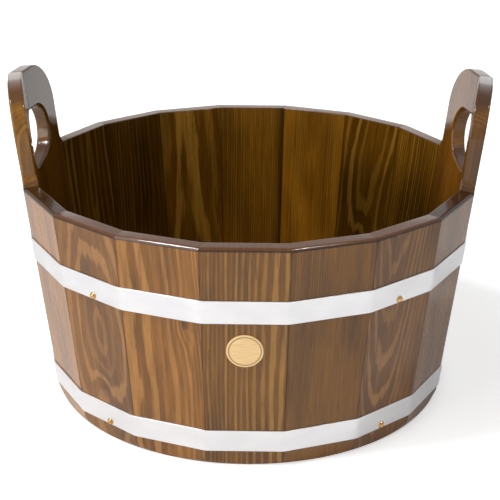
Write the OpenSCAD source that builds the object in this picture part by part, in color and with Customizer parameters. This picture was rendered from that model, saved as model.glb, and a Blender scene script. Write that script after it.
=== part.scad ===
// Coopered wooden wash tub: eighteen flat staves round a boarded bottom,
// two flat metal bands, and two raised hand grips, each cut in a pair of tall staves.
// The origin is on the floor under the middle of the tub. The front faces -Y.

/* [Tub] */
// Width over the outer corners at the rim
rim_d = 400; // [385:1:440]
// Width over the outer corners at the foot
base_d = 357; // [330:1:380]
// Height from the floor to the rim
tub_h = 198; // [180:1:230]
// Thickness of a stave, square to its face
wall = 13; // [12:0.5:16]
// Radius worked on the outer edge of the rim
rim_round = 3.2; // [1:0.2:4]
// Radius worked on the outer edge of the foot
foot_round = 3; // [1:0.2:4]
// Height up to which the corners of the foot are turned away
foot_turn = 9; // [5:0.5:11]
// Radius worked on the inner edges of the rim and foot
inner_round = 0.8; // [0.4:0.1:1.5]

/* [Hand grips] */
// Height of a grip above the rim, up the slope of the stave
grip_rise = 81; // [72:1:110]
// Width of a grip over its two staves, on the inner face
grip_w = 122; // [112:1:126]
// Radius of the two upper shoulders of a grip
shoulder_r = 41; // [25:1:50]
// Radius at the foot of a grip, where it runs into the rim
grip_foot_r = 9; // [5:1:14]
// Wood left over the hand hole
bar_h = 35; // [24:1:40]
// Width of the hand hole
hole_w = 77; // [60:1:90]
// Height of the hand hole, from its lower point to its top
hole_h = 51; // [47:1:58]
// Radius of the two upper corners of the hand hole
hole_r = 23; // [15:1:24]
// Radius at the lower point of the hand hole
hole_tip_r = 5; // [3:0.5:8]

/* [Bottom] */
// Height of the groove for the bottom above the floor
groove_z = 20; // [16:1:26]
// Depth of the groove in the staves
groove_depth = 5; // [3:0.5:6]
// Thickness of the lip that runs in the groove
lip_t = 8; // [6:0.5:9]
// Thickness of the bottom boards
bottom_t = 12; // [10:0.5:15]
// Clearance of the lip at its top and edge
groove_fit = 0.1; // [0.05:0.05:0.3]

/* [Bands] */
// Width of a band
band_w = 20; // [15:1:24]
// Thickness of the band strip
band_t = 1.2; // [0.8:0.1:1.6]
// Height of the upper band's lower edge
upper_band_z = 134; // [127:0.5:140]
// Height of the lower band's lower edge
lower_band_z = 14.5; // [12:0.5:17]
// Length of the lap where the ends of a band are riveted
lap_l = 44; // [36:1:50]
// Distance between the two rivets of a lap
rivet_pitch = 24; // [18:1:28]
// Diameter of a rivet
rivet_d = 4; // [3:0.5:5]
// Diameter of a rivet's head
rivet_head_d = 8; // [7:0.5:10]
// Height of a rivet's head
rivet_head_h = 2; // [1.5:0.1:2.5]

/* [Nails] */
// Height of a nail above the lower edge of its band
nail_up = 3; // [2:0.1:4]
// How far the nails stand off the middle of their staves, towards the front
nail_shift = 2.5; // [0:0.5:5]
// Diameter of a nail's shank
nail_d = 2; // [1.5:0.1:2.4]
// Length of a nail's shank
nail_l = 10; // [8:0.5:11]
// Length of the point of a nail
nail_point = 2.5; // [1.5:0.5:4]
// Diameter of a nail's head
nail_head_d = 6; // [5:0.5:7]
// Height of a nail's head
nail_head_h = 2.2; // [1.5:0.1:2.8]

/* [Dowels] */
// Diameter of a dowel
dowel_d = 6; // [5:0.5:7]
// Length of a dowel
dowel_l = 24; // [20:1:28]
// Height of the lower dowel in each stave joint
dowel_low_z = 62; // [50:1:80]
// Drop of the upper dowel in each stave joint below the rim
dowel_drop = 34; // [28:1:40]
// Radial clearance of a shank or dowel in its bore
bore_fit = 0.05; // [0.02:0.01:0.1]

/* [Front disc] */
// Diameter of the small disc on the front stave
disc_d = 29; // [24:1:32]
// Thickness of the disc
disc_t = 2; // [1.5:0.1:3]
// Height of the middle of the disc
disc_z = 109.5; // [85:0.5:111]
// Depth of the seat of the disc in the stave
disc_seat = 0.8; // [0.3:0.1:1.2]
// Clearance of the disc in its seat
disc_fit = 0.1; // [0.05:0.05:0.3]
// Radius worked on the front edge of the disc
disc_round = 0.5; // [0.2:0.1:0.8]

/* [Hidden] */
$fn = 64;

// Staves are counted from the front, by way of the right side
staves = 18;
step = 360 / staves;
half = step / 2;
plain_places = [0, 1, 2, 3, 6, 7, 8, 9, 10, 11, 12, 15, 16, 17];
grip_places = [4, 5, 13, 14];
nail_places = [2, 7, 11, 16];
back_place = 9;
boards = 5;
past = 1; // how far a cut runs past the face that it leaves

// A face leans outwards; face_y is its distance from the axis at height z
slope = (rim_d - base_d) / 2 * cos(half) / tub_h;
lean = atan(slope);
wall_y = wall / cos(lean);
reach = rim_d;
function face_y(z) = base_d / 2 * cos(half) + slope * z;
function inner_y(z) = face_y(z) - wall_y;
function wall_mid_r(z) = (face_y(z) - wall_y / 2) / cos(half);
grip_blank_top = tub_h + grip_rise + wall;

// The hand hole, seen square to the grip: u from the joint of its staves, v up from the rim
// Its upper rounds stand at round_u, round_v and the lower one at 0, round_low_v;
// hole_side is the angle of its sides to the level
hole_top = grip_rise - bar_h;
round_u = hole_w / 2 - hole_r;
round_v = hole_top - hole_r;
round_low_v = hole_top - hole_h + hole_tip_r;
round_gap = norm([round_u, round_v - round_low_v]);
hole_side = atan2(round_v - round_low_v, round_u) - asin((hole_r - hole_tip_r) / round_gap);
seam = 0.06;
grip_inner_x = inner_y(tub_h) * tan(half);
bar_dowel_v = grip_rise - bar_h / 2;

board_edge = inner_y(groove_z) + groove_depth - groove_fit;
board_top_edge = inner_y(groove_z) - groove_fit;
board_w = 2 * board_edge / boards;
dowel_share = 0.6; // where the outer dowels of a board joint sit along its half length
dowel_z = groove_z + lip_t / 2;

wood = "sienna";
dark_wood = "saddlebrown";
metal = "gainsboro";
brass = "goldenrod";

function unit(v) = v / norm(v);

// Turns a thing made for the front to the place of stave k
module at_place(k) { rotate([0, 0, k * step]) children(); }

// Origin on the outer face at height z: x along the stave's width, y into the wood, z up the slope
module on_face(k, z) { at_place(k) translate([0, -face_y(z), z]) rotate([lean, 0, 0]) children(); }

// Origin on a stave joint at height z, in the middle of the wall, with z square to the joint
module on_joint(k, z) {
    at_place(k + 0.5) translate([0, -wall_mid_r(z), z]) rotate([0, 90, 0]) children();
}

// The space of one stave between its two radial joints
module sector(h) {
    translate([0, 0, -past]) linear_extrude(h + 2 * past)
        polygon([[0, 0], [-reach * tan(half), -reach], [reach * tan(half), -reach]]);
}

// What a radius r takes off the corner p, whose sides leave towards a and b
module corner_cut(p, a, b, r) {
    da = unit(a - p);
    db = unit(b - p);
    turn = acos(da * db) / 2;
    middle = p + unit(da + db) * r / sin(turn);
    difference() {
        polygon([p - unit(da + db) * past / 10, p + da * r / tan(turn), middle, p + db * r / tan(turn)]);
        translate(middle) circle(r);
    }
}

// Side view of a stave: x away from the axis, y up
module stave_profile(top) {
    foot_in = [inner_y(0), 0];
    foot_out = [face_y(0), 0];
    top_out = [face_y(top), top];
    top_in = [inner_y(top), top];
    difference() {
        polygon([foot_in, foot_out, top_out, top_in]);
        corner_cut(foot_in, foot_out, top_in, inner_round);
        corner_cut(top_out, foot_out, top_in, rim_round);
        corner_cut(top_in, top_out, foot_in, inner_round);
        translate([inner_y(groove_z) - groove_depth, groove_z]) square([2 * groove_depth, lip_t + groove_fit]);
    }
}

// What the lathe takes off the foot: the corners, down to the width over the flats at the floor,
// along a cone that leaves the corners at height foot_turn, and a rounded edge all round
module foot_turning() {
    edge = [face_y(0), 0];
    leave = [face_y(foot_turn) / cos(half), foot_turn];
    clear = leave + (leave - edge) * past / foot_turn;
    rotate_extrude($fn = 6 * staves) {
        polygon([edge, clear, [reach, clear.y], [reach, -past], [edge.x, -past]]);
        corner_cut(edge, [0, 0], clear, foot_round);
    }
}

// A stave without its bores
module stave_blank(k, top) {
    at_place(k) difference() {
        intersection() {
            sector(top);
            rotate([90, 0, -90]) linear_extrude(reach / 2, center = true) stave_profile(top);
        }
        foot_turning();
    }
}

// Bores for the dowels of the joint after place k
module joint_bores(k) {
    for (z = [dowel_low_z, tub_h - dowel_drop])
        on_joint(k, z) cylinder(h = dowel_l, r = dowel_d / 2 + bore_fit, center = true);
}

// Where the nails of place k stand across their stave
function nail_x(k) = -nail_shift * sign(sin(k * step));

// Bores for the band nails of place k
module nail_bores(k) {
    for (z = [upper_band_z, lower_band_z])
        on_face(k, z) translate([nail_x(k), -past, nail_up]) rotate([-90, 0, 0])
            cylinder(h = nail_l + past - band_t, r = nail_d / 2 + bore_fit);
}

module plain_stave(k) {
    color(wood) difference() {
        stave_blank(k, tub_h);
        joint_bores(k - 1);
        joint_bores(k);
        if (len(search(k, nail_places)) > 0) nail_bores(k);
        if (k == 0)
            on_face(k, disc_z) translate([0, disc_seat, 0]) rotate([90, 0, 0])
                cylinder(h = disc_seat + past, r = disc_d / 2 + disc_fit);
    }
}

// Outline of half a grip: straight side, round shoulder, flat top, a small radius at its foot
module grip_outline() {
    far = 3 * grip_w;
    side_u = grip_w / 2;
    difference() {
        translate([-far, -far]) square([2 * far, far + grip_rise]);
        difference() {
            translate([side_u, 0]) square(far);
            corner_cut([side_u, 0], [far, 0], [side_u, far], grip_foot_r);
        }
        corner_cut([side_u, grip_rise], [side_u, 0], [0, grip_rise], shoulder_r);
    }
}

// The hand hole: two round upper corners and a round lower point, joined by straight sides
// The sides run a hair inside the rounds, so that they cross them and don't just touch
module hole_outline() {
    square_out = [sin(hole_side), -cos(hole_side)];
    low = [0, round_low_v] + square_out * (hole_tip_r - seam);
    high = [round_u, round_v] + square_out * (hole_r - seam);
    top = [round_u, hole_top - seam];
    polygon([low, high, top, [-top.x, top.y], [-high.x, high.y], [-low.x, low.y]]);
    for (m = [0, 1]) mirror([m, 0]) translate([round_u, round_v]) circle(hole_r);
    translate([0, round_low_v]) circle(hole_tip_r);
}

// Half of a grip at place k; its joint with the other half is on the side that turn names
module grip_stave(k, turn) {
    color(dark_wood) difference() {
        intersection() {
            stave_blank(k, grip_blank_top);
            on_face(k, tub_h) translate([turn * grip_inner_x, wall + past, 0]) rotate([90, 0, 0])
                mirror([turn > 0 ? 1 : 0, 0, 0]) linear_extrude(wall + 2 * past) grip_outline();
        }
        on_face(k, tub_h) translate([turn * grip_inner_x, wall + past, 0]) rotate([90, 0, 0])
            linear_extrude(wall + 2 * past) hole_outline();
        joint_bores(k - 1);
        joint_bores(k);
        bar_bore(turn > 0 ? k : k - 1);
    }
}

// Bore for the dowel in the bar of a grip
module bar_bore(k) {
    on_joint(k, tub_h + bar_dowel_v * cos(lean))
        cylinder(h = dowel_l, r = dowel_d / 2 + bore_fit, center = true);
}

// The joints of the bottom boards, counted from the front
function board_joint_y(i) = -board_edge + i * board_w;
function joint_dowel_x(i) = dowel_share * sqrt(pow(board_edge, 2) - pow(board_joint_y(i), 2));

// An outline of flat sides that lie at distance d from the axis
module ring_outline(d) {
    polygon([for (k = [0:staves - 1]) d / cos(half) * [sin((k + 0.5) * step), -cos((k + 0.5) * step)]]);
}

module board_dowel_row(i, r) {
    for (x = [-1, 0, 1] * joint_dowel_x(i))
        translate([x, board_joint_y(i), dowel_z]) rotate([90, 0, 0]) cylinder(h = dowel_l, r = r, center = true);
}

module bottom_board(i) {
    color(wood) difference() {
        intersection() {
            translate([0, 0, groove_z]) union() {
                linear_extrude(lip_t) ring_outline(board_edge);
                linear_extrude(bottom_t) ring_outline(board_top_edge);
            }
            translate([-board_edge * 2, board_joint_y(i), 0]) cube([board_edge * 4, board_w, tub_h]);
        }
        if (i > 0) board_dowel_row(i, dowel_d / 2 + bore_fit);
        if (i < boards - 1) board_dowel_row(i + 1, dowel_d / 2 + bore_fit);
    }
}

module stave_dowels() {
    color("burlywood") {
        for (k = [0:staves - 1], z = [dowel_low_z, tub_h - dowel_drop])
            on_joint(k, z) cylinder(h = dowel_l, r = dowel_d / 2, center = true);
        for (k = [grip_places[0], grip_places[2]])
            on_joint(k, tub_h + bar_dowel_v * cos(lean)) cylinder(h = dowel_l, r = dowel_d / 2, center = true);
    }
}

module bottom_dowels() {
    color("burlywood") for (i = [1:boards - 1]) board_dowel_row(i, dowel_d / 2);
}

// The space within the staves' outer faces, moved out by the distance out, from height z up
module within_faces(z, h, out) {
    intersection() {
        translate([-reach, -reach, z]) cube([2 * reach, 2 * reach, h]);
        intersection_for (k = [0:staves - 1])
            on_face(k, z) translate([-reach, -out, -reach]) cube([2 * reach, 3 * reach, 2 * reach]);
    }
}

// A band lies flat on every stave; its ends lap over each other on the back one
module band(z) {
    h = band_w * cos(lean);
    color(metal) difference() {
        union() {
            difference() {
                within_faces(z, h, band_t);
                within_faces(z - past, h + 2 * past, 0);
            }
            intersection() {
                translate([-reach, 0, z]) cube([2 * reach, reach, h]);
                on_face(back_place, z) translate([0, 0, -past]) linear_extrude(band_w + 2 * past)
                    polygon([[-lap_l / 2, 0], [-lap_l / 2, -2 * band_t], [lap_l / 2, -2 * band_t],
                        [lap_l / 2 + 4 * band_t, -band_t / 2], [lap_l / 2, 0]]);
            }
        }
        for (x = [-1, 1] * rivet_pitch / 2)
            on_face(back_place, z) translate([x, past, band_w / 2]) rotate([90, 0, 0])
                cylinder(h = 2 * band_t + 2 * past, r = rivet_d / 2 + bore_fit);
        for (k = nail_places)
            on_face(k, z) translate([nail_x(k), past, nail_up]) rotate([90, 0, 0])
                cylinder(h = band_t + 2 * past, r = nail_d / 2 + bore_fit);
    }
}

// A low dome on the plane z = 0
module dome(d, h) {
    ball_r = (pow(d / 2, 2) + pow(h, 2)) / (2 * h);
    intersection() {
        translate([0, 0, h - ball_r]) sphere(ball_r);
        cylinder(h = h, d = d);
    }
}

module band_rivets(z) {
    color(metal) for (x = [-1, 1] * rivet_pitch / 2)
        on_face(back_place, z) translate([x, -2 * band_t, band_w / 2]) rotate([90, 0, 0]) {
            dome(rivet_head_d, rivet_head_h);
            translate([0, 0, -2 * band_t]) cylinder(h = 2 * band_t, d = rivet_d);
        }
}

module band_nails(z) {
    color(brass) for (k = nail_places)
        on_face(k, z) translate([nail_x(k), -band_t, nail_up]) rotate([90, 0, 0]) {
            dome(nail_head_d, nail_head_h);
            translate([0, 0, nail_point - nail_l]) cylinder(h = nail_l - nail_point, d = nail_d);
            translate([0, 0, -nail_l]) cylinder(h = nail_point, d1 = nail_d / 8, d2 = nail_d);
        }
}

module front_disc() {
    color("wheat") on_face(0, disc_z) translate([0, disc_seat, 0]) rotate([90, 0, 0]) rotate_extrude()
        difference() {
            square([disc_d / 2, disc_t]);
            corner_cut([disc_d / 2, disc_t], [0, disc_t], [disc_d / 2, 0], disc_round);
        }
}

for (i = [0:len(plain_places) - 1])
    plain_stave(plain_places[i]);
grip_stave(grip_places[0], 1);  // right_grip_front
grip_stave(grip_places[1], -1);  // right_grip_back
grip_stave(grip_places[2], 1);  // left_grip_back
grip_stave(grip_places[3], -1);  // left_grip_front
for (i = [0:boards - 1])
    bottom_board(i);
stave_dowels();
bottom_dowels();
band(upper_band_z);  // upper_band
band(lower_band_z);  // lower_band
band_rivets(upper_band_z);  // upper_band_rivets
band_rivets(lower_band_z);  // lower_band_rivets
band_nails(upper_band_z);  // upper_band_nails
band_nails(lower_band_z);  // lower_band_nails
front_disc();
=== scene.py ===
"""Looks of the coopered wash tub: varnished pine staves, bright bands, brass nails and a pale disc."""
import math

import bpy
import numpy as np
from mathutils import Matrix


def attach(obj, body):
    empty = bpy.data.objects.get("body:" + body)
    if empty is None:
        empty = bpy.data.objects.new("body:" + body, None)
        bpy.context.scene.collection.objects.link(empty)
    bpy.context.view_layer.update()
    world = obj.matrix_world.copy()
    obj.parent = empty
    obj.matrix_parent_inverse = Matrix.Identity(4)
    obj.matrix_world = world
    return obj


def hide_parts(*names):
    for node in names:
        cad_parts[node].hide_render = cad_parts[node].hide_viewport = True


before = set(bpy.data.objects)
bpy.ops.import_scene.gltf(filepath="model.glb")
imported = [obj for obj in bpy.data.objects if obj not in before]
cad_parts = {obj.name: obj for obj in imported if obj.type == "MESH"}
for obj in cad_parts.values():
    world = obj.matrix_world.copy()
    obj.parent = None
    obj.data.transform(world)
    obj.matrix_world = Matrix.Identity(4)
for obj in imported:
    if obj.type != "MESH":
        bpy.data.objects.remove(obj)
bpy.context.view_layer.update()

# Driving sizes of the tub, in metres
RIM_D = 0.400
BASE_D = 0.357
TUB_H = 0.198
WALL = 0.013
STAVES = 18
GRIP_RISE = 0.081
GRIP_W = 0.122
SHOULDER_R = 0.041
GRIP_FOOT_R = 0.009
BAR_H = 0.035
HOLE_W = 0.077
HOLE_H = 0.051
HOLE_R = 0.023
HOLE_TIP_R = 0.005
GROOVE_Z = 0.020
BOTTOM_T = 0.012
BOARDS = 5
BAND_W = 0.020
BAND_T = 0.0012
BAND_Z = {"upper": 0.134, "lower": 0.0145}
LAP_L = 0.044
RIVET_PITCH = 0.024
NAIL_UP = 0.003
NAIL_SHIFT = 0.0025
DISC_D = 0.029
DISC_T = 0.002
DISC_Z = 0.1095
DISC_SEAT = 0.0008

# Worked edges and joints, in metres
RIM_ROUND = 0.0034
FOOT_ROUND = 0.0030
FOOT_TURN = 0.009
FOOT_PARTS = 16
INNER_ROUND = 0.0008
JOINT_EASE = 0.00048
GRIP_EASE = 0.0018
HOLE_EASE = 0.0022
JOINT_GAP = 0.00003

# Names of the staves by place: place 0 is the front one, counted by way of the right side
STEP = 2 * math.pi / STAVES
HALF = STEP / 2
PLAIN_PLACES = (0, 1, 2, 3, 6, 7, 8, 9, 10, 11, 12, 15, 16, 17)
GRIPS = {"right_grip_front": (4, 1), "right_grip_back": (5, -1),
         "left_grip_back": (13, 1), "left_grip_front": (14, -1)}
NAIL_PLACES = (2, 7, 11, 16)
BACK_PLACE = 9

SLOPE = (RIM_D - BASE_D) / 2 * math.cos(HALF) / TUB_H
LEAN = math.atan(SLOPE)
FACE_TOP = RIM_D / 2 * math.cos(HALF)


def face_y(z):
    """Distance of a stave's outer face from the axis at height z."""
    return BASE_D / 2 * math.cos(HALF) + SLOPE * z


def inner_y(z):
    """Distance of a stave's inner face from the axis at height z."""
    return face_y(z) - WALL / math.cos(LEAN)


def on_face(place, points, z=TUB_H):
    """Puts points (x along the width, y into the wood, v up the slope from height z) on a stave's face:
    the slope leans out by LEAN, and the whole is turned about the axis to the stave's place."""
    x, y, v = np.moveaxis(np.asarray(points, float), -1, 0)
    back = -face_y(z) + y * math.cos(LEAN) - v * math.sin(LEAN)
    up = z + y * math.sin(LEAN) + v * math.cos(LEAN)
    turn = place * STEP
    return np.stack([x * math.cos(turn) - back * math.sin(turn),
                     x * math.sin(turn) + back * math.cos(turn), up], -1)


def new_piece(name, points, faces, material, stands_for=None, smooth=True):
    """A mesh piece at the origin that rides on the tub, with area-weighted normals so that flats stay flat."""
    mesh = bpy.data.meshes.new(name)
    mesh.from_pydata(np.asarray(points).reshape(-1, 3).tolist(), [], faces)
    mesh.validate()
    mesh.shade_smooth() if smooth else mesh.shade_flat()
    mesh.materials.append(material)
    piece = bpy.data.objects.new(name, mesh)
    bpy.context.scene.collection.objects.link(piece)
    even = piece.modifiers.new("flat_faces", "WEIGHTED_NORMAL")
    even.weight = 100
    even.mode = "FACE_AREA"
    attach(piece, "root")
    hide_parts(stands_for or name.removesuffix("_look"))
    return piece


def miter(outline, radius):
    """How far each corner of a closed outline moves in when the side after point i moves in by radius[i]:
    the vector m with m . n = r for the inward normals n of both sides that meet there."""
    side = np.roll(outline, -1, 0) - outline
    side /= np.linalg.norm(side, axis=1, keepdims=True)
    inward = np.stack([-side[:, 1], side[:, 0]], -1)
    before, r_before = np.roll(inward, 1, 0), np.roll(radius, 1)
    det = before[:, 0] * inward[:, 1] - before[:, 1] * inward[:, 0]
    straight = np.abs(det) < 0.02
    safe = np.where(straight, 1, det)
    mx = (r_before * inward[:, 1] - radius * before[:, 1]) / safe
    my = (radius * before[:, 0] - r_before * inward[:, 0]) / safe
    mean = inward * ((radius + r_before) / 2)[:, None]
    return np.where(straight[:, None], mean, np.stack([mx, my], -1)), np.maximum(radius, r_before)


def carried_board(outline, drift, thick, outer_r, inner_r, steps=5):
    """A board: a closed outline carried through its thickness.
    At depth y the outline is outline + drift * y. Near each face it draws in along a quarter circle,
    inset r * (1 - sin a) at depth r * (1 - cos a), so every arris is rounded by its own radius.
    Returns points (x, depth, v) and faces with outward order for a viewer on the outer side."""
    angles = np.linspace(0, math.pi / 2, steps + 1)
    rings = []
    for radius, from_face in ((outer_r, True), (inner_r, False)):
        inset, deep = miter(outline, radius)
        for a in (angles if from_face else angles[::-1]):
            depth = deep * (1 - math.cos(a))
            depth = depth if from_face else thick - depth
            flat = outline + drift * depth[:, None] + inset * (1 - math.sin(a))
            rings.append(np.stack([flat[:, 0], depth, flat[:, 1]], -1))
    rings = np.array(rings)
    count, n = rings.shape[:2]
    first = np.arange(n)
    after = (first + 1) % n
    faces = []
    for j in range(count - 1):
        a, b = j * n, (j + 1) * n
        faces += np.stack([a + first, b + first, b + after, a + after], -1).tolist()
    faces.append(first.tolist())
    faces.append(((count - 1) * n + first[::-1]).tolist())
    return rings, faces


def joint_x(v):
    """Half width of a stave on its outer face, at v up the slope from the rim."""
    return (FACE_TOP + v * math.sin(LEAN)) * math.tan(HALF) - JOINT_GAP


JOINT_DRIFT = -math.cos(LEAN) * math.tan(HALF)
END_DRIFT = -math.tan(LEAN)
FOOT_V = -TUB_H / math.cos(LEAN)


def rows(*groups):
    """Stacks outline rows of (x, v, drift of x, drift of v, outer radius, inner radius)."""
    return np.concatenate([np.atleast_2d(np.array(g, float)) for g in groups])


FOOT_ACROSS = np.linspace(-1, 1, FOOT_PARTS + 1)


def foot_rows():
    """The foot end and the lower joint edges that every stave shares, from the left joint to the right one."""
    near = FOOT_V + FOOT_TURN * 1.08
    ease = (JOINT_EASE, JOINT_EASE)
    end = [(s * joint_x(FOOT_V), FOOT_V, s * JOINT_DRIFT, END_DRIFT, FOOT_ROUND, INNER_ROUND) for s in FOOT_ACROSS]
    end[-1] = end[-1][:4] + ease
    return rows((-joint_x(near), near, -JOINT_DRIFT, 0, *ease), end, (joint_x(near), near, JOINT_DRIFT, 0, *ease))


def turn_foot(points):
    """Brings the foot of a stave's outer rings onto the lathe's surface, along radial planes at angle a:
    a cone whose radius is edge + grow * height, from the flat face down, then an arc of FOOT_ROUND that
    touches the cone and the floor. The flat ends where face_y(height) / cos(a) meets the cone or the arc."""
    steps = len(points) // 2 - 1
    edge = face_y(0)
    grow = (face_y(FOOT_TURN) / math.cos(HALF) - edge) / FOOT_TURN
    tip = -math.atan(grow)
    touch = FOOT_ROUND / math.tan((math.pi / 2 - tip) / 2)
    for i, share in enumerate(FOOT_ACROSS):
        a = math.atan(share * math.tan(HALF))
        height = edge * (1 / math.cos(a) - 1) / (grow - SLOPE / math.cos(a))
        fine = np.linspace(-math.pi / 2, tip, 60)
        over = edge - touch + FOOT_ROUND * np.cos(fine) - face_y(FOOT_ROUND * (1 + np.sin(fine))) / math.cos(a)
        start = np.interp(0, over, fine)
        on_cone = over[-1] < 0
        turn = np.append(tip, np.linspace(tip, -math.pi / 2, steps)) if on_cone else np.linspace(start, -math.pi / 2, steps + 1)
        radius = edge - touch + FOOT_ROUND * np.cos(turn)
        up = FOOT_ROUND * (1 + np.sin(turn))
        if on_cone:
            radius[0], up[0] = edge + grow * height, height
        ease = JOINT_GAP + JOINT_EASE * (1 - np.sin(np.linspace(0, math.pi / 2, steps + 1)))
        back = face_y(TUB_H) - radius * math.cos(a)
        points[:steps + 1, i + 1, 0] = radius * math.sin(a) - share * ease
        points[:steps + 1, i + 1, 1] = back * math.cos(LEAN) + (up - TUB_H) * math.sin(LEAN)
        points[:steps + 1, i + 1, 2] = (up - TUB_H) * math.cos(LEAN) - back * math.sin(LEAN)
    return points


def plain_rows():
    """Outline of a plain stave: foot, two joints and a level rim."""
    near = -RIM_ROUND * 1.05
    ease = (JOINT_EASE, JOINT_EASE)
    return rows(foot_rows(),
                (joint_x(near), near, JOINT_DRIFT, 0, *ease),
                (joint_x(0), 0, JOINT_DRIFT, END_DRIFT, RIM_ROUND, INNER_ROUND),
                (-joint_x(0), 0, -JOINT_DRIFT, END_DRIFT, *ease),
                (-joint_x(near), near, -JOINT_DRIFT, 0, *ease))


def arc(centre, radius, start, end, count):
    """Points on a circle from one angle to another."""
    a = np.linspace(start, end, count)
    return np.stack([centre[0] + radius * np.cos(a), centre[1] + radius * np.sin(a)], -1)


def hole_curve():
    """Half of the hand hole's edge, from its low point to its top: u from the joint, v up from the rim.
    A small round at the point, a straight side that touches both rounds, and a large upper round."""
    top = GRIP_RISE - BAR_H
    low = (0, top - HOLE_H + HOLE_TIP_R)
    high = (HOLE_W / 2 - HOLE_R, top - HOLE_R)
    gap = math.hypot(high[0], high[1] - low[1])
    side = math.atan2(high[1] - low[1], high[0]) - math.asin((HOLE_R - HOLE_TIP_R) / gap)
    return np.concatenate([arc(low, HOLE_TIP_R, -math.pi / 2, side - math.pi / 2, 8)[1:],
                           arc(high, HOLE_R, side - math.pi / 2, math.pi / 2, 34)])


def grip_rows():
    """Outline of half a grip whose joint with the other half is on the right."""
    ease = (JOINT_EASE, JOINT_EASE)
    edge = (GRIP_EASE, GRIP_EASE)
    hole = (HOLE_EASE, HOLE_EASE)
    centre = inner_y(TUB_H) * math.tan(HALF)
    low, top = GRIP_RISE - BAR_H - HOLE_H, GRIP_RISE - BAR_H
    side = centre - GRIP_W / 2

    def joint(v, radius=ease):
        return (joint_x(v), v, JOINT_DRIFT, 0, *radius)

    notch = hole_curve()[:-1]
    notch = np.column_stack([centre - notch[:, 0], notch[:, 1], np.zeros((len(notch), 2)),
                             np.full((len(notch), 2), HOLE_EASE)])
    shoulder = arc((side + SHOULDER_R, GRIP_RISE - SHOULDER_R), SHOULDER_R, math.pi / 2, math.pi, 30)
    foot_mid = (side - GRIP_FOOT_R, GRIP_FOOT_R)

    def foot_end(depth):
        reach = -joint_x(0) - JOINT_DRIFT * depth - foot_mid[0]
        return -math.acos(reach / GRIP_FOOT_R)

    ends = [arc(foot_mid, GRIP_FOOT_R, 0, foot_end(y), 9) for y in (0, WALL)]
    free = np.concatenate([shoulder, ends[0]])
    drift = np.concatenate([np.zeros_like(shoulder), (ends[1] - ends[0]) / WALL])
    free = np.column_stack([free, drift, np.full((len(free), 2), GRIP_EASE)])
    free[-1, 4:] = JOINT_EASE
    last = free[-1, 1] - GRIP_EASE * 1.2
    return rows(foot_rows(),
                joint(low - HOLE_EASE * 1.05), joint(low, hole), notch, joint(top),
                joint(top + HOLE_EASE * 1.05), joint(GRIP_RISE - GRIP_EASE * 1.05), joint(GRIP_RISE, edge),
                free, (-joint_x(last), last, -JOINT_DRIFT, 0, *ease))


def stave_piece(name, place, outline_rows, turn, material):
    """A stave from its outline rows; turn -1 mirrors it across its own middle."""
    outline, drift, outer_r, inner_r = np.split(outline_rows, [2, 4, 5], axis=1)
    points, faces = carried_board(outline, drift, WALL, outer_r[:, 0], inner_r[:, 0])
    points = turn_foot(points)
    if turn < 0:
        points[..., 0] *= -1
        faces = [f[::-1] for f in faces]
    return new_piece(name + "_look", on_face(place, points), faces, material)


def half_chord(y, apothem):
    """Half the width of the regular polygon of the inner wall at the distance y from its middle."""
    corner = (np.arange(STAVES) + 0.5) * STEP
    edge_y = apothem / math.cos(HALF) * np.cos(corner)
    edge_x = apothem / math.cos(HALF) * np.sin(corner)
    right = edge_x > -1e-9
    order = np.argsort(edge_y[right])
    return np.interp(y, edge_y[right][order], edge_x[right][order])


def bottom_outline(i, z):
    """Plan of bottom board i at height z: its two long joints, and the wall's sides between them."""
    apothem = inner_y(z) - JOINT_GAP * 3
    full = inner_y(GROOVE_Z)
    low = -full + i * 2 * full / BOARDS + JOINT_GAP * 2
    high = low + 2 * full / BOARDS - JOINT_GAP * 4
    if i == 0:
        low = -apothem
    if i == BOARDS - 1:
        high = apothem
    corners = apothem / math.cos(HALF) * np.cos((np.arange(STAVES) + 0.5) * STEP)
    inside = np.unique(np.round(corners[(corners > low + 1e-6) & (corners < high - 1e-6)], 9))
    levels = np.concatenate([[low], inside, [high]])
    right = np.stack([half_chord(levels, apothem), levels], -1)
    return np.concatenate([right, right[::-1] * (-1, 1)])


def bottom_board(i, material):
    """A bottom board between the walls; its outline follows the flare of the staves down through its thickness."""
    top = GROOVE_Z + BOTTOM_T
    outline = bottom_outline(i, top)
    drift = (bottom_outline(i, GROOVE_Z) - outline) / BOTTOM_T
    radius = np.full(len(outline), JOINT_EASE)
    points, faces = carried_board(outline, drift, BOTTOM_T, radius, radius, steps=3)
    placed = np.stack([points[..., 0], points[..., 2], top - points[..., 1]], -1)
    name = f"bottom_board_{i + 1}"
    return new_piece(name + "_look", placed, faces, material)


BEND_R = 0.015
LAP_RAMP = 0.005


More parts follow.
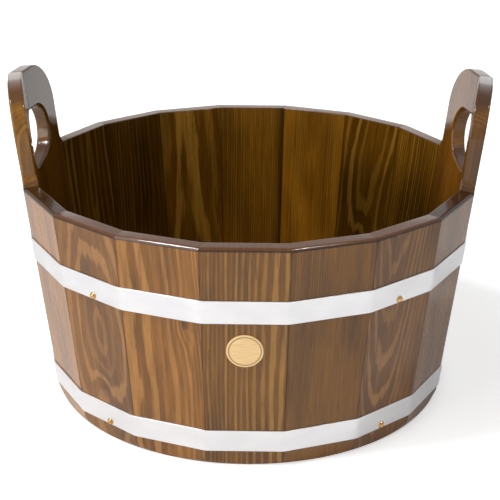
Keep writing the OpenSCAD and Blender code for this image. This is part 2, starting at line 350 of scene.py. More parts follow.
def band_path(z):
    """The run of a band round the tub at height z, as plan points and outward normals.
    Every bend is an arc of BEND_R that touches two neighbouring faces; the flats lie between the arcs.
    It starts on the back stave under nothing, runs once round and ends under its own start."""
    half_side = face_y(z) * math.tan(HALF)
    points, normals, lifts = [], [], []

    def add(place, x, normal_turn, lift, radius_point=None):
        points.append(radius_point if radius_point is not None else
                      (x * math.cos(place * STEP) + face_y(z) * math.sin(place * STEP),
                       x * math.sin(place * STEP) - face_y(z) * math.cos(place * STEP)))
        normals.append((math.sin(normal_turn), -math.cos(normal_turn)))
        lifts.append(lift)

    for x in np.linspace(-LAP_L / 2, LAP_L / 2, 8):
        add(BACK_PLACE, x, BACK_PLACE * STEP, BAND_T)
    for t in np.linspace(0, 1, 6)[1:]:
        add(BACK_PLACE, LAP_L / 2 + t * LAP_RAMP, BACK_PLACE * STEP, BAND_T * (1 - t * t * (3 - 2 * t)))
    centre_r = (face_y(z) - BEND_R) / math.cos(HALF)
    for k in range(BACK_PLACE, BACK_PLACE + STAVES):
        corner = (k + 0.5) * STEP
        centre = np.array([math.sin(corner), -math.cos(corner)]) * centre_r
        for a in np.linspace(corner - HALF, corner + HALF, 9):
            add(k, 0, a, 0, tuple(centre + BEND_R * np.array([math.sin(a), -math.cos(a)])))
    for x in np.linspace(-half_side * 0.6, LAP_L / 2 - BAND_T, 6):
        add(BACK_PLACE, x, BACK_PLACE * STEP, 0)
    return np.array(points), np.array(normals), np.array(lifts)


def band_piece(which, material):
    """A flat strip carried round the tub. Its section is a rectangle with rounded edges:
    s up the slope and d out from the wood; both follow the flare of the staves."""
    z = BAND_Z[which]
    r = 0.0003
    corner = [((r, r), math.pi), ((BAND_W - r, r), -math.pi / 2), ((BAND_W - r, BAND_T - r), 0), ((r, BAND_T - r), math.pi / 2)]
    section = np.concatenate([arc(c, r, start, start + math.pi / 2, 4) for c, start in corner])
    rings = []
    for s, d in section:
        plan, normal, lift = band_path(z + s * math.cos(LEAN))
        out = (d + lift)[:, None]
        level = z + s * math.cos(LEAN) - out * math.sin(LEAN)
        rings.append(np.concatenate([plan + normal * out * math.cos(LEAN), level], axis=1))
    rings = np.array(rings).transpose(1, 0, 2)
    count, n = rings.shape[:2]
    first = np.arange(n)
    after = (first + 1) % n
    faces = []
    for j in range(count - 1):
        a, b = j * n, (j + 1) * n
        faces += np.stack([a + first, a + after, b + after, b + first], -1).tolist()
    faces.append(first[::-1].tolist())
    faces.append(((count - 1) * n + first).tolist())
    return new_piece(f"{which}_band_look", rings, faces, material)


def turned(profile, spots, to_world, sides=40):
    """A turned shape: a profile of (radius, height) from the axis to the axis, carried round a circle,
    once at each spot. Height runs out from the face. Returns points and faces of one piece."""
    profile = np.array(profile)
    turn = np.linspace(0, 2 * math.pi, sides, endpoint=False)
    points, faces, base = [], [], 0
    n = len(profile)
    for spot in spots:
        body = profile[1:-1]
        ring = np.stack([body[:, None, 0] * np.cos(turn), np.broadcast_to(-body[:, None, 1], (n - 2, sides)),
                         body[:, None, 0] * np.sin(turn)], -1).reshape(-1, 3)
        poles = np.array([[0, -profile[0, 1], 0], [0, -profile[-1, 1], 0]])
        points.append(to_world(spot, np.concatenate([ring, poles])))
        first = np.arange(sides)
        after = (first + 1) % sides
        for j in range(n - 3):
            a, b = base + j * sides, base + (j + 1) * sides
            faces += np.stack([a + first, b + first, b + after, a + after], -1).tolist()
        low, high = base + (n - 2) * sides, base + (n - 2) * sides + 1
        faces += [(low, base + i, base + (i + 1) % sides) for i in range(sides)]
        end = base + (n - 3) * sides
        faces += [(high, end + (i + 1) % sides, end + i) for i in range(sides)]
        base += (n - 2) * sides + 2
    return np.concatenate(points), faces


def dome_profile(d, h, shank_d, shank_l, point_l):
    """Profile of a nail or rivet from its tip to the top of its dome: shank, underside of the head,
    a rounded rim and a circular cap of height h."""
    ball = (d * d / 4 + h * h) / (2 * h)
    spread = math.asin(d / 2 / ball)
    cap = [(ball * math.sin(a), h - ball + ball * math.cos(a)) for a in np.linspace(spread, 0, 12)]
    tip = shank_d / 8 if point_l else shank_d / 2
    return [(0, -shank_l), (tip, -shank_l), (shank_d / 2, point_l - shank_l), (shank_d / 2, 0), (d / 2 - 2e-4, 0), (d / 2, 1e-4)] + cap[1:]


def nail_piece(which, material):
    """The four brass nails of a band."""
    profile = dome_profile(0.006, 0.0022, 0.002, 0.010, 0.0025)

    def place_at(place, points):
        aside = -NAIL_SHIFT * math.copysign(1, math.sin(place * STEP))
        return on_face(place, points + np.array([aside, -BAND_T, NAIL_UP]), BAND_Z[which])

    points, faces = turned(profile, NAIL_PLACES, place_at)
    return new_piece(f"{which}_band_nails_look", points, faces, material)


def rivet_piece(which, material):
    """The two rivets of a band's lap at the back."""
    profile = dome_profile(0.008, 0.002, 0.004, 2 * BAND_T, 0)

    def place_at(x, points):
        return on_face(BACK_PLACE, points + np.array([x, -2 * BAND_T, BAND_W / 2]), BAND_Z[which])

    points, faces = turned(profile, (-RIVET_PITCH / 2, RIVET_PITCH / 2), place_at)
    return new_piece(f"{which}_band_rivets_look", points, faces, material)


def disc_piece(material):
    """The pale disc on the front stave: a thin turned disc with a rounded front edge."""
    r = 0.0005
    front = DISC_T - DISC_SEAT
    edge = [(DISC_D / 2 - r + r * math.cos(a), front - r + r * math.sin(a)) for a in np.linspace(0, math.pi / 2, 6)]
    profile = [(0, -DISC_SEAT), (DISC_D / 2, -DISC_SEAT)] + edge + [(DISC_D / 4, front), (0, front)]

    def place_at(_, points):
        return on_face(0, points, DISC_Z)

    points, faces = turned(profile, (0,), place_at, sides=96)
    return new_piece("front_disc_look", points, faces, material)


def linear(red, green, blue):
    """A screen colour of 0 to 255 as the linear colour that shaders take."""
    c = np.array([red, green, blue]) / 255
    return (*np.where(c <= 0.04045, c / 12.92, ((c + 0.055) / 1.055) ** 2.4).tolist(), 1.0)


class Net:
    """A node tree with short calls for adding nodes and joining them."""

    def __init__(self, tree):
        self.tree = tree

    def add(self, kind, settings=None, **inputs):
        node = self.tree.nodes.new(kind)
        for name, value in (settings or {}).items():
            setattr(node, name, value)
        for name, value in inputs.items():
            self.put(node.inputs[name.replace("_", " ")], value)
        return node

    def put(self, socket, value):
        if isinstance(value, bpy.types.NodeSocket):
            self.tree.links.new(value, socket)
        else:
            socket.default_value = value

    def math(self, how, a, b=0.0, c=0.0, clamp=False):
        node = self.tree.nodes.new("ShaderNodeMath")
        node.operation, node.use_clamp = how, clamp
        for socket, value in zip(node.inputs, (a, b, c)):
            self.put(socket, value)
        return node.outputs[0]

    def blend(self, amount, a, b, how="MIX"):
        node = self.tree.nodes.new("ShaderNodeMix")
        node.data_type, node.blend_type = "RGBA", how
        self.put(node.inputs[0], amount)
        self.put(node.inputs[6], a)
        self.put(node.inputs[7], b)
        return node.outputs[2]

    def ramp(self, value, low, high, to_low=0.0, to_high=1.0, smooth=True):
        node = self.add("ShaderNodeMapRange", {"interpolation_type": "SMOOTHSTEP" if smooth else "LINEAR"})
        for socket, v in zip(node.inputs, (value, low, high, to_low, to_high)):
            self.put(socket, v)
        return node.outputs[0]

    def noise(self, vector, scale, detail=2.0, seed=0.0, rough=0.5, lacunarity=2.0):
        node = self.add("ShaderNodeTexNoise", {"noise_dimensions": "4D"})
        for name, v in (("Vector", vector), ("Scale", scale), ("Detail", detail), ("W", seed),
                        ("Roughness", rough), ("Lacunarity", lacunarity)):
            self.put(node.inputs[name], v)
        return node.outputs[0]

    def stretch(self, vector, x, y, z):
        node = self.tree.nodes.new("ShaderNodeVectorMath")
        node.operation = "MULTIPLY"
        self.put(node.inputs[0], vector)
        node.inputs[1].default_value = (x, y, z)
        return node.outputs[0]


def group(name, ins, outs):
    """An empty node group with named inputs and outputs; ins maps a name to its kind and default."""
    tree = bpy.data.node_groups.new(name, "ShaderNodeTree")
    for socket, (kind, value) in ins.items():
        made = tree.interface.new_socket(socket, in_out="INPUT", socket_type=kind)
        if value is not None:
            made.default_value = value
    for socket, kind in outs.items():
        tree.interface.new_socket(socket, in_out="OUTPUT", socket_type=kind)
    net = Net(tree)
    return net, tree.nodes.new("NodeGroupInput").outputs, tree.nodes.new("NodeGroupOutput").inputs


FLOAT, VECTOR, COLOUR = "NodeSocketFloat", "NodeSocketVector", "NodeSocketColor"


def growth_ring_group():
    """Growth rings of a board sawn from a log. The log's heart runs along z, off to one side and tilted.
    With d the distance from the heart, bent by slow noise, the ring count is d / (width * (1 + growth * d)),
    plus a ragged part that runs with the fibres. Late wood starts softly and stops sharply in each ring.
    A knot of size s bends the rings round it by 1.6 * exp(-(r / s) ** 2), r being the distance from it with
    the length of the board halved, and darkens its core."""
    net, ins, outs = group("growth_rings", {
        "Vector": (VECTOR, None), "Heart X": (FLOAT, 0.0), "Heart Y": (FLOAT, 0.05),
        "Tilt X": (FLOAT, 0.0), "Tilt Y": (FLOAT, 0.0), "Ring Width": (FLOAT, 0.004), "Growth": (FLOAT, 0.0),
        "Late Share": (FLOAT, 0.4), "Wander": (FLOAT, 0.004), "Seed": (FLOAT, 0.0),
        "Knot X": (FLOAT, 0.0), "Knot Z": (FLOAT, 0.0), "Knot Size": (FLOAT, 0.0), "Knot Dark": (FLOAT, 1.0)},
        {"Late Wood": FLOAT, "Fibre": FLOAT, "Stain": FLOAT, "Streak": FLOAT, "Pores": FLOAT, "Knot": FLOAT})
    spot = net.add("ShaderNodeSeparateXYZ", Vector=ins["Vector"]).outputs

    def grain_noise(across, along, shift, detail=2.0, rough=0.5):
        seed = net.math("ADD", ins["Seed"], shift)
        return net.noise(net.stretch(ins["Vector"], across, across, along), 1.0, detail, seed, rough)

    def sway(noise):
        return net.math("MULTIPLY", net.math("SUBTRACT", noise, 0.5), net.math("MULTIPLY", ins["Wander"], 6.0))

    def leg(place, heart, tilt, noise):
        tilted = net.math("MULTIPLY_ADD", spot[2], tilt, sway(noise))
        return net.math("ADD", net.math("SUBTRACT", place, heart), tilted)

    across = leg(spot[0], ins["Heart X"], ins["Tilt X"], grain_noise(14, 7, 0.0, 1.5))
    deep = leg(spot[1], ins["Heart Y"], ins["Tilt Y"], grain_noise(11, 8, 7.3, 1.0))
    away = net.math("SQRT", net.math("MULTIPLY_ADD", across, across, net.math("MULTIPLY", deep, deep)))
    width = net.math("MULTIPLY", ins["Ring Width"], net.math("MULTIPLY_ADD", ins["Growth"], away, 1.0))
    ragged = net.math("MULTIPLY_ADD", grain_noise(330, 22, 3.3, 2.0, 0.65), 0.50,
                      net.math("MULTIPLY", grain_noise(55, 6, 2.1), 1.7))
    aside = net.math("SUBTRACT", spot[0], ins["Knot X"])
    along = net.math("MULTIPLY", net.math("SUBTRACT", spot[2], ins["Knot Z"]), 0.5)
    from_knot = net.math("SQRT", net.math("MULTIPLY_ADD", aside, aside, net.math("MULTIPLY", along, along)))
    reach = net.math("DIVIDE", from_knot, net.math("MAXIMUM", ins["Knot Size"], 1e-6))
    bend = net.math("MULTIPLY", net.math("EXPONENT", net.math("MULTIPLY", net.math("MULTIPLY", reach, reach), -0.12)), 1.6)
    near_knot = net.math("GREATER_THAN", ins["Knot Size"], 0.0)
    count = net.math("ADD", net.math("DIVIDE", away, width), net.math("MULTIPLY_ADD", bend, near_knot, ragged))
    core = net.ramp(net.math("MULTIPLY_ADD", grain_noise(600, 200, 8.8), 0.8, reach), 0.9, 1.8, 1.0, 0.0)
    net.put(outs["Knot"], net.math("MULTIPLY", net.math("MULTIPLY", core, near_knot), ins["Knot Dark"]))
    part = net.math("FRACT", count)
    whole = net.math("FLOOR", count)
    start = net.math("SUBTRACT", 0.80, ins["Late Share"])
    rise = net.ramp(part, start, net.math("MULTIPLY_ADD", ins["Late Share"], 0.55, start))
    fall = net.ramp(part, 0.90, 1.0, 1.0, 0.0)
    uneven = net.add("ShaderNodeTexWhiteNoise", {"noise_dimensions": "2D"},
                     Vector=net.add("ShaderNodeCombineXYZ", X=whole, Y=ins["Seed"]).outputs[0]).outputs[0]
    strength = net.ramp(net.math("POWER", uneven, 1.4), 0.0, 1.0, 0.15, 1.0, smooth=False)
    net.put(outs["Late Wood"], net.math("MULTIPLY", net.math("MULTIPLY", rise, fall), strength))
    net.put(outs["Fibre"], grain_noise(430, 30, 0.0, 4.0, 0.68))
    net.put(outs["Stain"], grain_noise(34, 7, 4.4, 3.0))
    net.put(outs["Streak"], grain_noise(230, 12, 9.9, 3.0, 0.62))
    net.put(outs["Pores"], net.ramp(grain_noise(640, 70, 5.5, 1.0), 0.64, 0.74))
    return net.tree


def stained_wood_group():
    """Colour and relief of brown-stained pine under varnish, from the growth ring masks.
    Early wood takes most stain; late wood stays tan. Ends of the grain and joints drink more and go darker; the Seam
    input also brings painted shade beside some joints and a painted dark reflection on the rim's outer arris."""
    net, ins, outs = group("stained_pine", {
        "Late Wood": (FLOAT, 0.0), "Fibre": (FLOAT, 0.5), "Stain": (FLOAT, 0.5), "Streak": (FLOAT, 0.5),
        "Pores": (FLOAT, 0.0), "Figure": (FLOAT, 0.8), "Early Colour": (COLOUR, None),
        "Late Colour": (COLOUR, None), "Deep Colour": (COLOUR, None), "End Colour": (COLOUR, None),
        "End Grain": (FLOAT, 0.0), "Seam": (FLOAT, 0.0), "Knot": (FLOAT, 0.0)},
        {"Colour": COLOUR, "Height": FLOAT})
    early = net.blend(net.ramp(ins["Stain"], 0.30, 0.62), ins["Deep Colour"], ins["Early Colour"])
    body = net.blend(net.math("MULTIPLY", ins["Late Wood"], ins["Figure"]), early, ins["Late Colour"])
    lively = net.math("MULTIPLY_ADD", ins["Figure"], 0.8, 0.2)
    body = net.blend(net.math("MULTIPLY", net.ramp(ins["Streak"], 0.53, 0.70, 0.0, 0.66), lively), body, ins["Deep Colour"])
    body = net.blend(net.math("MULTIPLY", net.ramp(ins["Streak"], 0.46, 0.28, 0.0, 0.36), lively), body, ins["Late Colour"])
    fine = net.ramp(ins["Fibre"], 0.25, 0.75, 0.72, 1.26, smooth=False)
    grey = net.add("ShaderNodeCombineColor", Red=fine, Green=fine, Blue=fine).outputs[0]
    body = net.blend(1.0, body, grey, "MULTIPLY")
    body = net.blend(net.math("MULTIPLY", ins["Pores"], 0.45), body, ins["Deep Colour"])
    body = net.blend(net.math("MULTIPLY", ins["End Grain"], 0.88), body, ins["End Colour"])
    body = net.blend(net.math("MAXIMUM", ins["Seam"], ins["Knot"]), body, linear(38, 22, 7))
    net.put(outs["Colour"], body)
    relief = net.math("MULTIPLY_ADD", ins["Late Wood"], 0.35, net.math("MULTIPLY", ins["Fibre"], 0.65))
    net.put(outs["Height"], net.math("SUBTRACT", relief, net.math("MULTIPLY", ins["Pores"], 0.3)))
    return net.tree


def stave_joint_group():
    """A mask that rises towards the joints of a stave. In its own axes the joint lies at
    |x| = (face + z * sin(lean) - y * cos(lean)) * tan(half). On the shaded side the mask reaches five times as far and darker: painted shade beside the joint."""
    net, ins, outs = group("stave_joint", {"Vector": (VECTOR, None), "Noise": (FLOAT, 0.5), "Shaded Side": (FLOAT, 0.0)},
                          {"Seam": FLOAT})
    spot = net.add("ShaderNodeSeparateXYZ", Vector=ins["Vector"]).outputs
    leant = net.math("MULTIPLY_ADD", spot[2], math.sin(LEAN), face_y(0))
    radius = net.math("SUBTRACT", leant, net.math("MULTIPLY", spot[1], math.cos(LEAN)))
    gap = net.math("SUBTRACT", net.math("MULTIPLY", radius, math.tan(HALF)), net.math("ABSOLUTE", spot[0]))
    wide = net.math("MAXIMUM", net.math("MULTIPLY", net.math("SIGN", spot[0]), ins["Shaded Side"]), 0.0)
    reach = net.math("MULTIPLY", net.ramp(ins["Noise"], 0.3, 0.7, 0.0008, 0.0026), net.math("MULTIPLY_ADD", wide, 4.0, 1.0))
    net.put(outs["Seam"], net.ramp(gap, 0.0, reach, net.math("MULTIPLY_ADD", wide, 0.50, 0.30), 0.0))
    return net.tree


def new_material(name):
    """A material with only a Principled shader and its output."""
    material = bpy.data.materials.new(name)
    material.use_nodes = True
    shader = next(n for n in material.node_tree.nodes if n.type == "BSDF_PRINCIPLED")
    return material, Net(material.node_tree), shader


def wood_material(name, groups, turn, lean, shift, log, tone_and_shade, end, cast, shaded_side=0, end_from=0.13, arris=0.75,
                  inner_shade=0.0):
    """Varnished pine on one board. The pattern is turned to the board's own axes: x across, y deep, z along.
    On a stave a dark line marks the outer arris at the rim, partly stain gathered there and partly a painted dark
    reflection on the rounded edge; on some staves the inner face darkens down the wall, a painted shade."""
    material, net, shader = new_material(name)
    where = net.add("ShaderNodeTexCoord")
    turned_to = net.add("ShaderNodeMapping", {"vector_type": "POINT"}, Vector=where.outputs["Object"], Rotation=(0, 0, -turn))
    laid = net.add("ShaderNodeMapping", {"vector_type": "POINT"}, Vector=turned_to.outputs[0],
                   Rotation=(-lean, 0, 0), Location=shift)
    rings = net.add("ShaderNodeGroup", {"node_tree": groups["rings"]})
    net.put(rings.inputs["Vector"], laid.outputs[0])
    pine = net.add("ShaderNodeGroup", {"node_tree": groups["pine"]})
    for key, value in log.items():
        net.put((pine if key == "Figure" else rings).inputs[key], value)
    for key in ("Late Wood", "Fibre", "Stain", "Streak", "Pores", "Knot"):
        net.put(pine.inputs[key], rings.outputs[key])
    # Tone and cast scale the colours: the board's own colour, and painted light and shade with it.
    for key, value in WOOD_COLOURS.items():
        light = end if key == "End Colour" else tone_and_shade
        net.put(pine.inputs[key], (value[0] * light, value[1] * light * (1 - 0.06 * cast), value[2] * light * (1 + 0.7 * cast), 1.0))
    if lean == LEAN:
        up = net.add("ShaderNodeSeparateXYZ", Vector=where.outputs["Normal"]).outputs[2]
        net.put(pine.inputs["End Grain"], net.math("ADD", net.ramp(up, end_from, end_from + 0.21), net.ramp(up, -0.7, -0.95)))
        joint = net.add("ShaderNodeGroup", {"node_tree": groups["joint"]})
        net.put(joint.inputs["Vector"], laid.outputs[0])
        net.put(joint.inputs["Noise"], rings.outputs["Stain"])
        net.put(joint.inputs["Shaded Side"], shaded_side)
        depth = net.add("ShaderNodeSeparateXYZ", Vector=laid.outputs[0]).outputs[1]
        # Partly painted reflection: the dark line on the rim's rounded outer arris stands partly for stain gathered
        # there and partly for the dark surroundings that edge reflects.
        line = net.math("MULTIPLY", net.ramp(up, -0.07, 0.03, 0.0, arris), net.ramp(up, 0.34, 0.60, 1.0, 0.0))
        line = net.math("MULTIPLY", line, net.ramp(depth, 0.002, 0.004, 1.0, 0.0))
        net.put(pine.inputs["Seam"], net.math("MAXIMUM", joint.outputs["Seam"], line))
    colour = pine.outputs["Colour"]
    # Painted shade: on the staves listed for it the inner face darkens down the wall, as if less light reached low in
    # the tub.
    if inner_shade:
        spot = net.add("ShaderNodeSeparateXYZ", Vector=laid.outputs[0]).outputs
        shade_down_wall = net.math("MULTIPLY", net.ramp(spot[2], 0.195, 0.120, 0.0, inner_shade), net.ramp(spot[1], 0.006, 0.010))
        unshaded = net.math("SUBTRACT", 1.0, shade_down_wall)
        grey = net.add("ShaderNodeCombineColor", Red=unshaded, Green=unshaded, Blue=unshaded).outputs[0]
        colour = net.blend(1.0, colour, grey, "MULTIPLY")
    net.put(shader.inputs["Base Color"], colour)
    net.put(shader.inputs["Roughness"], net.ramp(rings.outputs["Fibre"], 0.2, 0.8, 0.06, 0.14, smooth=False))
    bump = net.add("ShaderNodeBump", Strength=0.12, Distance=0.0003, Height=pine.outputs["Height"])
    net.put(shader.inputs["Normal"], bump.outputs[0])
    shader.inputs["IOR"].default_value = 1.47
    return material


WOOD_COLOURS = {"Early Colour": linear(119, 77, 13), "Late Colour": linear(170, 124, 46),
                "Deep Colour": linear(84, 52, 6), "End Colour": linear(90, 53, 20)}

# How each stave was sawn: heart across and behind the outer face, its tilts, ring width and growth,
# share of late wood, wander of the rings, strength of the figure, how light and how red the board came out,
# and how dark its end grain is. Lightness and cast hold painted light and shade on the board's side of the tub
# besides its own colour, and on the left grip's inner face (place 13) a painted mauve reflection;
# the darker end grain at places 3 and 15 is partly a painted dark reflection of the grip beside it.
LOGS = {
    0: dict(x=-0.060, y=0.010, tx=0.00, ty=0.02, ring=0.0009, growth=23, late=0.34, wander=0.0014, figure=0.75, tone_and_shade=0.96, cast=0.5),
    1: dict(x=0.090, y=0.020, tx=0.02, ty=0.00, ring=0.0019, growth=0, late=0.40, wander=0.0012, figure=0.22, tone_and_shade=1.05, cast=0.5),
    2: dict(x=-0.008, y=0.042, tx=0.02, ty=0.10, ring=0.0034, growth=0, late=0.26, wander=0.0012, figure=0.85, tone_and_shade=1.03, cast=1),
    3: dict(x=-0.050, y=0.020, tx=0.00, ty=0.03, ring=0.0036, growth=0, late=0.30, wander=0.0020, figure=0.4, tone_and_shade=1.10, end=0.3, cast=1),
    4: dict(x=-0.090, y=0.020, tx=0.02, ty=0.00, ring=0.0019, growth=0, late=0.40, wander=0.0016, figure=0.30, tone_and_shade=0.70, end=0.6, cast=0.7),
    5: dict(x=0.080, y=0.020, tx=-0.02, ty=0.00, ring=0.0019, growth=0, late=0.40, wander=0.0016, figure=0.12, tone_and_shade=0.95, end=0.6, cast=1),
    6: dict(x=0.060, y=0.020, tx=0.02, ty=0.03, ring=0.0034, growth=0, late=0.35, wander=0.0020, figure=0.7, tone_and_shade=0.70),
    7: dict(x=0.000, y=0.030, tx=0.03, ty=0.06, ring=0.0085, growth=0, late=0.30, wander=0.0040, figure=0.95, tone_and_shade=0.62),
    8: dict(x=0.100, y=0.020, tx=0.00, ty=0.00, ring=0.0020, growth=0, late=0.45, wander=0.0010, figure=0.22, tone_and_shade=1.35),
    9: dict(x=-0.080, y=0.010, tx=0.01, ty=0.00, ring=0.0024, growth=0, late=0.40, wander=0.0012, figure=0.45, tone_and_shade=0.85),
    10: dict(x=0.006, y=0.036, tx=0.00, ty=-0.07, ring=0.0090, growth=0, late=0.45, wander=0.0030, figure=1.0, tone_and_shade=0.85),
    11: dict(x=0.060, y=0.010, tx=0.05, ty=0.00, ring=0.0016, growth=12, late=0.35, wander=0.0020, figure=0.7, tone_and_shade=0.45),
    12: dict(x=-0.004, y=0.020, tx=0.00, ty=0.06, ring=0.0070, growth=0, late=0.35, wander=0.0040, figure=0.9, tone_and_shade=0.45),
    13: dict(x=0.080, y=0.020, tx=0.02, ty=0.00, ring=0.0019, growth=0, late=0.40, wander=0.0016, figure=0.12, tone_and_shade=0.66, end=0.6, cast=0.6),
    14: dict(x=0.080, y=0.020, tx=-0.02, ty=0.00, ring=0.0019, growth=0, late=0.40, wander=0.0016, figure=0.40, tone_and_shade=1.30, end=0.85),
    15: dict(x=0.050, y=0.020, tx=0.00, ty=0.04, ring=0.0032, growth=0, late=0.35, wander=0.0020, figure=0.25, tone_and_shade=1.52, end=0.2, cast=1),
    16: dict(x=0.005, y=0.0294, tx=0.00, ty=0.30, ring=0.0095, growth=0, late=0.34, wander=0.0032, figure=0.52, tone_and_shade=1.03, cast=1),
    17: dict(x=-0.060, y=0.014, tx=0.00, ty=0.00, ring=0.030, growth=-7.6, late=0.40, wander=0.0026, figure=0.60, tone_and_shade=1.25, cast=1),
}

# Knots by stave (place across, place along, size, darkness) and joints with a wide dark line of painted shade beside
# them (stave: side)
KNOTS = {7: (0.004, 0.075, 0.0045, 0.6), 16: (0.001, 0.046, 0.0040, 0.35), 17: (0.0198, 0.1312, 0.0026, 0.6)}
SHADED_SEAMS = {9: -1}
# Painted shade: how far the inner face of these staves darkens towards the bottom of the wall.
SHADE_DOWN_INSIDE = {4: 0.45, 5: 0.55, 6: 0.55, 7: 0.50}


def log_of(key):
    """The saw and the lightness of a board, which on the listed staves holds painted light and shade too; one that
    isn't listed gets its own from its number.
    """
    saw = LOGS.get(key)
    if saw is None:
        rng = np.random.default_rng(1000 + key)
        saw = dict(x=rng.uniform(-0.04, 0.04), y=rng.uniform(0.02, 0.06), tx=rng.uniform(-0.02, 0.02),
                   ty=rng.uniform(-0.08, 0.08), ring=rng.uniform(0.0034, 0.0052), growth=0, late=0.35,
                   wander=rng.uniform(0.0015, 0.003), figure=0.7, tone_and_shade=rng.uniform(0.85, 1.05))
    log = {"Heart X": saw["x"], "Heart Y": saw["y"], "Tilt X": saw["tx"], "Tilt Y": saw["ty"],
           "Ring Width": saw["ring"], "Growth": saw["growth"], "Late Share": saw["late"],
           "Wander": saw["wander"], "Figure": saw["figure"], "Seed": 3.7 * key}
    log.update(zip(("Knot X", "Knot Z", "Knot Size", "Knot Dark"), KNOTS.get(key, ())))
    return log, saw["tone_and_shade"], saw.get("end", 1.0), saw.get("cast", 0)


def metal_material():
    """Bright satin strip: metal with fine marks along its length."""
    material, net, shader = new_material("bright_band")
    where = net.add("ShaderNodeTexCoord").outputs["Object"]
    lines = net.noise(net.stretch(where, 6, 6, 2600), 1.0, 2.0)
    cloud = net.noise(net.stretch(where, 30, 30, 60), 1.0, 3.0, 5.0)
    net.put(shader.inputs["Base Color"], net.blend(net.ramp(cloud, 0.3, 0.7), linear(220, 219, 221), linear(229, 228, 229)))
    net.put(shader.inputs["Roughness"], net.ramp(lines, 0.3, 0.7, 0.28, 0.40, smooth=False))
    bump = net.add("ShaderNodeBump", Strength=0.1, Distance=0.0001, Height=lines)
    net.put(shader.inputs["Normal"], bump.outputs[0])
    shader.inputs["Metallic"].default_value = 1.0
    return material


def brass_material():
    """Polished brass of the nail heads, a little tarnished in the hollows of its finish."""
    material, net, shader = new_material("nail_brass")
    where = net.add("ShaderNodeTexCoord").outputs["Object"]
    cloud = net.noise(net.stretch(where, 700, 700, 700), 1.0, 3.0)
    net.put(shader.inputs["Base Color"], net.blend(net.ramp(cloud, 0.35, 0.7), linear(176, 130, 70), linear(226, 190, 128)))
    net.put(shader.inputs["Roughness"], net.ramp(cloud, 0.3, 0.7, 0.16, 0.08))
    shader.inputs["Metallic"].default_value = 1.0
    return material


def disc_material():
    """Pale bare wood with a fine brown ring near the edge and faint grain."""
    material, net, shader = new_material("pale_disc")
    where = net.add("ShaderNodeTexCoord").outputs["Object"]
    spot = net.add("ShaderNodeSeparateXYZ", Vector=where).outputs
    up = net.math("DIVIDE", net.math("SUBTRACT", spot[2], DISC_Z), math.cos(LEAN))
    away = net.math("SQRT", net.math("ADD", net.math("MULTIPLY", spot[0], spot[0]), net.math("MULTIPLY", up, up)))
    grain = net.noise(net.stretch(where, 90, 90, 900), 1.0, 3.0, 3.0, rough=0.6)
    pale = net.blend(net.ramp(grain, 0.3, 0.7), linear(238, 196, 134), linear(246, 214, 160))
    ring = net.math("MULTIPLY", net.ramp(away, DISC_D * 0.415, DISC_D * 0.425), net.ramp(away, DISC_D * 0.445, DISC_D * 0.455, 1, 0))
    net.put(shader.inputs["Base Color"], net.blend(net.math("MULTIPLY", ring, 0.75), pale, linear(120, 72, 38)))
    net.put(shader.inputs["Roughness"], net.ramp(grain, 0.3, 0.7, 0.5, 0.62))
    bump = net.add("ShaderNodeBump", Strength=0.1, Distance=0.0002, Height=grain)
    net.put(shader.inputs["Normal"], bump.outputs[0])
    return material


def plain_wood_material():
    """Plain beech of the dowels."""
    material, net, shader = new_material("dowel_beech")
    where = net.add("ShaderNodeTexCoord").outputs["Object"]
    grain = net.noise(net.stretch(where, 400, 400, 400), 1.0, 3.0)
    net.put(shader.inputs["Base Color"], net.blend(net.ramp(grain, 0.3, 0.7), linear(196, 156, 110), linear(214, 178, 132)))
    net.put(shader.inputs["Roughness"], net.ramp(grain, 0.3, 0.7, 0.6, 0.72))
    return material


def dress_tub():
    """Makes every piece of the tub with its material."""
    groups = {"rings": growth_ring_group(), "pine": stained_wood_group(), "joint": stave_joint_group()}
    face_shift = (0, face_y(0) * math.cos(LEAN), -face_y(0) * math.sin(LEAN))
    for i, place in enumerate(PLAIN_PLACES):
        wood = wood_material(f"stave_pine_{place:02d}", groups, place * STEP, LEAN, face_shift, *log_of(place),
                             SHADED_SEAMS.get(place, 0), inner_shade=SHADE_DOWN_INSIDE.get(place, 0))
        stave_piece(f"stave_{i + 1:02d}", place, plain_rows(), 1, wood)
    for name, (place, turn) in GRIPS.items():
        wood = wood_material(f"{name}_pine", groups, place * STEP, LEAN, face_shift, *log_of(place), end_from=0.55, arris=0,
                             inner_shade=SHADE_DOWN_INSIDE.get(place, 0))
        stave_piece(name, place, grip_rows(), turn, wood)
    for i in range(BOARDS):
        wood = wood_material(f"bottom_pine_{i}", groups, math.pi / 2, math.pi / 2, (0, -GROOVE_Z, 0), *log_of(30 + i))
        bottom_board(i, wood)
    metal, brass = metal_material(), brass_material()
    for which in BAND_Z:
        band_piece(which, metal)
        rivet_piece(which, metal)
        nail_piece(which, brass)
    disc_piece(disc_material())
    beech = plain_wood_material()
    for name in ("stave_dowels", "bottom_dowels"):
        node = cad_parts[name]
        node.data.materials.clear()
        node.data.materials.append(beech)


# Camera found from the stave corners in the photograph
CAMERA_AZIMUTH = math.radians(0.82)
CAMERA_ELEVATION = math.radians(22.32)
CAMERA_ROLL = math.radians(0.32)
CAMERA_DISTANCE = 1.1207
CAMERA_AIM_X = 0.0008
CAMERA_AIM_Z = 0.1165
FOCAL_PIXELS = 1234.0
IMAGE_PIXELS = 500
SENSOR = 36.0


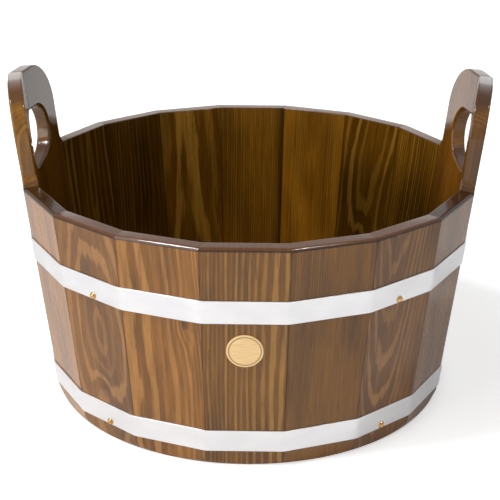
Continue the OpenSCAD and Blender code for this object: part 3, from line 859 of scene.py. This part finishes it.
def set_camera():
    """A pinhole camera on the sphere round the aim point, rolled a little about its own axis."""
    from mathutils import Matrix, Vector
    away = Vector((math.sin(CAMERA_AZIMUTH) * math.cos(CAMERA_ELEVATION),
                   -math.cos(CAMERA_AZIMUTH) * math.cos(CAMERA_ELEVATION), math.sin(CAMERA_ELEVATION)))
    data = bpy.data.cameras.new("camera")
    data.sensor_fit = "HORIZONTAL"
    data.sensor_width = SENSOR
    data.lens = FOCAL_PIXELS / IMAGE_PIXELS * SENSOR
    camera = bpy.data.objects.new("camera", data)
    look = (-away).to_track_quat("-Z", "Y").to_matrix().to_4x4()
    camera.matrix_world = (Matrix.Translation(Vector((CAMERA_AIM_X, 0, CAMERA_AIM_Z)) + away * CAMERA_DISTANCE)
                           @ look @ Matrix.Rotation(CAMERA_ROLL, 4, "Z"))
    bpy.context.scene.collection.objects.link(camera)
    bpy.context.scene.camera = camera


def add_lamp(name, at, target, wide, high, power, roll=0.0):
    """A soft box that looks at a target, rolled about its own axis by an angle in degrees."""
    from mathutils import Quaternion, Vector
    data = bpy.data.lights.new(name, "AREA")
    data.shape, data.size, data.size_y, data.energy = "RECTANGLE", wide, high, power
    lamp = bpy.data.objects.new(name, data)
    lamp.visible_camera = False
    lamp.location = at
    look = (Vector(target) - Vector(at)).to_track_quat("-Z", "Y")
    lamp.rotation_euler = (look @ Quaternion((0, 0, 1), math.radians(roll))).to_euler()
    bpy.context.scene.collection.objects.link(lamp)
    return lamp


def set_stage():
    """A wide white floor, a white surround and soft light from above the left shoulder of the camera."""
    mesh = bpy.data.meshes.new("floor")
    reach = 12.0
    mesh.from_pydata([(-reach, -reach, 0), (reach, -reach, 0), (reach, reach, 0), (-reach, reach, 0)], [], [(0, 1, 2, 3)])
    floor = bpy.data.objects.new("floor", mesh)
    bpy.context.scene.collection.objects.link(floor)
    material, net, shader = new_material("studio_floor")
    shader.inputs["Base Color"].default_value = (0.95, 0.95, 0.95, 1)
    shader.inputs["Roughness"].default_value = 0.9
    shader.inputs["Specular IOR Level"].default_value = 0.1
    path = net.add("ShaderNodeLightPath").outputs
    seen = net.math("MAXIMUM", path["Is Camera Ray"], path["Is Transmission Ray"])
    glow = net.add("ShaderNodeEmission", Color=(1, 1, 1, 1))
    spot = net.add("ShaderNodeSeparateXYZ", Vector=net.add("ShaderNodeTexCoord").outputs["Object"]).outputs
    # Painted reflection: for glossy rays alone the floor glows by place, 0.27 in front of the tub, 0.09 from its middle
    # to just behind it and up to 0.63 far behind, so gloss on the tub shows brighter surroundings than the light that
    # reaches it.
    reflection_glow = net.math("ADD", net.ramp(spot[1], -0.36, 0.0, 0.27, 0.09), net.ramp(spot[1], 0.25, 0.9, 0.0, 0.54))
    net.put(glow.inputs["Strength"], net.math("MULTIPLY_ADD", path["Is Glossy Ray"], reflection_glow, net.math("MULTIPLY", seen, 0.47)))
    both = net.add("ShaderNodeAddShader")
    net.tree.links.new(shader.outputs[0], both.inputs[0])
    net.tree.links.new(glow.outputs[0], both.inputs[1])
    output = next(n for n in material.node_tree.nodes if n.type == "OUTPUT_MATERIAL")
    net.tree.links.new(both.outputs[0], output.inputs["Surface"])
    mesh.materials.append(material)

    world = bpy.data.worlds.new("studio")
    bpy.context.scene.world = world
    world.use_nodes = True
    tree = Net(world.node_tree)
    path = tree.add("ShaderNodeLightPath").outputs
    seen = tree.math("MAXIMUM", path["Is Camera Ray"], path["Is Transmission Ray"])
    sky = world.node_tree.nodes["Background"]
    tree.put(sky.inputs["Color"], (1, 1, 1, 1))
    # Painted reflection: glossy rays see the world brighter than the light it gives, by 0.25 everywhere and up to 0.8
    # more in two bands to the left and right, toward the back and above the horizon.
    towards = tree.add("ShaderNodeSeparateXYZ", Vector=tree.add("ShaderNodeTexCoord").outputs["Generated"]).outputs
    aside = tree.math("ABSOLUTE", tree.math("ADD", towards[0], 0.0135))
    sides = tree.math("MULTIPLY", tree.ramp(aside, 0.180, 0.225), tree.ramp(aside, 0.265, 0.310, 1.0, 0.0))
    sides = tree.math("MULTIPLY", sides, tree.ramp(towards[1], 0.15, 0.6))
    sides = tree.math("MULTIPLY", sides, tree.ramp(towards[2], 0.10, 0.40, 0.30, 1.0))
    sky_reflection_glow = tree.math("MULTIPLY_ADD", sides, 0.80, 0.25)
    shown = tree.math("MULTIPLY_ADD", path["Is Glossy Ray"], sky_reflection_glow, tree.math("MULTIPLY_ADD", seen, 0.55, 0.45))
    tree.put(sky.inputs["Strength"], shown)

    add_lamp("key", (-1.845, -0.872, 3.44), (0, 0, 0.1), 0.28, 0.85, 70, 37)
    glint = add_lamp("glint", (1.60, -1.035, 3.40), (0, 0, 0.1), 0.16, 0.20, 24, -36.5)
    glint.visible_diffuse = False
    add_lamp("window", (-1.85, -1.40, 0.95), (0, 0, 0.12), 1.60, 1.60, 25)
    add_lamp("back", (0, 2.40, 0.65), (0, 0, 0.65), 3.20, 0.80, 3.5)


dress_tub()
set_camera()
set_stage()
scene = bpy.context.scene
scene.view_settings.view_transform = "Standard"
